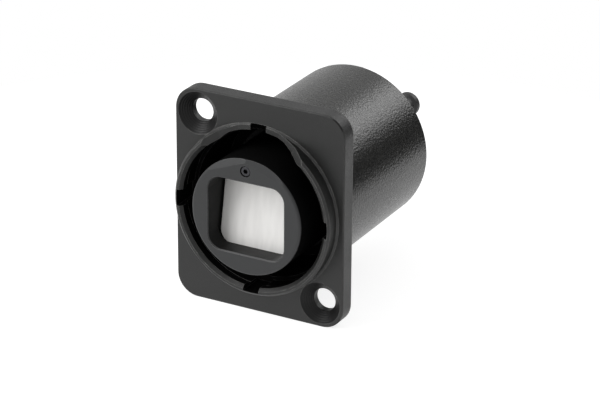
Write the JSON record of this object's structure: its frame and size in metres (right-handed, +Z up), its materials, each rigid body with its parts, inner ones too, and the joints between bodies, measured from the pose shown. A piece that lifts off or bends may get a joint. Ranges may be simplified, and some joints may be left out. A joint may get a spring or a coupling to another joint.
{
  "type": "lc fibre adapter",
  "caption": "Flange-mounted round fibre receptacle with a keyed collar, a shuttered nose in front, and LC ports with split sleeves and dust plugs behind.",
  "frame": {"origin": "on the mating axis, in the plane of the flange's back face", "axes": "+Y along the mating axis from the front face towards the rear ports, +Z up, the main keyway at +Z"},
  "size_m": [0.026, 0.0429, 0.031],
  "materials": {
    "shell_polymer": "fine spark-eroded texture, glass-filled black",
    "nose_polymer": "smooth satin black",
    "seal_rubber": "smooth",
    "bright_steel": "satin",
    "pin_steel": "turned",
    "dark_steel": "blackened",
    "block_polymer": "smooth grey",
    "port_polymer": "smooth satin charcoal",
    "plug_polymer": "soft moulded, dark grey",
    "sleeve_ceramic": "polished zirconia"
  },
  "bodies": {
    "receptacle": {"housing_shell": "shell_polymer", "nose_body": "nose_polymer", "nose_seal": "seal_rubber", "nose_screw": "dark_steel", "hinge_bracket": "dark_steel", "shutter_pin": "pin_steel", "shutter_spring": "pin_steel", "sleeve_block_front": "block_polymer", "sleeve_block_rear": "block_polymer", "block_dowels": "pin_steel", "lc_port_upper": "port_polymer", "lc_port_lower": "port_polymer", "rear_carrier": "nose_polymer", "carrier_screws": "pin_steel", "retaining_ring": "pin_steel", "split_sleeve_1": "sleeve_ceramic", "dust_plug_1": "plug_polymer", "split_sleeve_2": "sleeve_ceramic", "dust_plug_2": "plug_polymer", "split_sleeve_3": "sleeve_ceramic", "dust_plug_3": "plug_polymer", "split_sleeve_4": "sleeve_ceramic", "dust_plug_4": "plug_polymer"},
    "flap": {"shutter_flap": "bright_steel"}
  },
  "joints": [
    {"name": "shutter_hinge", "type": "hinge", "parent": "receptacle", "child": "flap", "pos_m": [0, -0.0006, 0.0055], "axis": [1, 0, 0], "range_deg": [0, 100], "stiffness_Nm_per_rad": 0.0006, "springref_deg": -85.94}
  ]
}
